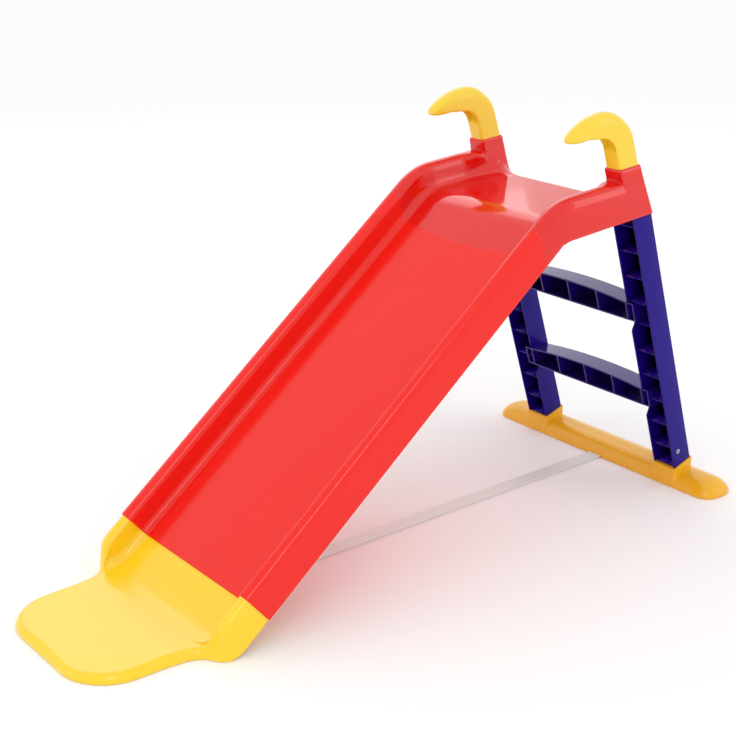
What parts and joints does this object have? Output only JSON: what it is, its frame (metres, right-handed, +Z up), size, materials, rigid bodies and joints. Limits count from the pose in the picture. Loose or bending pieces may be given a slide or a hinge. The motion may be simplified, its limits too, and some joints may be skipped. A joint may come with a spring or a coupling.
{
  "type": "toddler slide",
  "caption": "Straight child's slide: glossy channel chute with an exit lip, a small platform with hooked handles, and a leaning ladder with treads on a foot beam tied to the lip.",
  "frame": {"origin": "on the floor under the middle of the bounding box", "axes": "+X from the exit lip to the ladder, +Y to the left of a child climbing down the chute, +Z up"},
  "size_m": [1.4042, 0.616, 0.7963],
  "materials": {
    "chute_red": "glossy moulded plastic",
    "platform_red": "glossy moulded plastic",
    "lip_yellow": "glossy moulded plastic",
    "handle_yellow": "glossy moulded plastic",
    "beam_yellow": "glossy moulded plastic",
    "ladder_blue": "glossy moulded plastic",
    "step_blue": "glossy moulded plastic",
    "tie_grey": "smooth plastic strip",
    "screw_steel": "plated steel"
  },
  "bodies": {
    "root": {"exit_lip": "lip_yellow", "chute": "chute_red", "platform": "platform_red", "handle_left": "handle_yellow", "handle_right": "handle_yellow", "ladder_leg_left": "ladder_blue", "ladder_leg_right": "ladder_blue", "step_lower": "step_blue", "step_upper": "step_blue", "foot_beam": "beam_yellow", "tie_bar": "tie_grey", "rail_screw_left": "screw_steel", "rail_screw_right": "screw_steel", "seam_screws": "screw_steel", "lip_screws": "screw_steel", "handle_screw_left": "screw_steel", "handle_screw_right": "screw_steel", "leg_screw_left": "screw_steel", "leg_screw_right": "screw_steel", "step_screws_lower": "screw_steel", "step_screws_upper": "screw_steel", "foot_screw_left": "screw_steel", "foot_screw_right": "screw_steel", "tie_bar_screws": "screw_steel"}
  },
  "joints": []
}
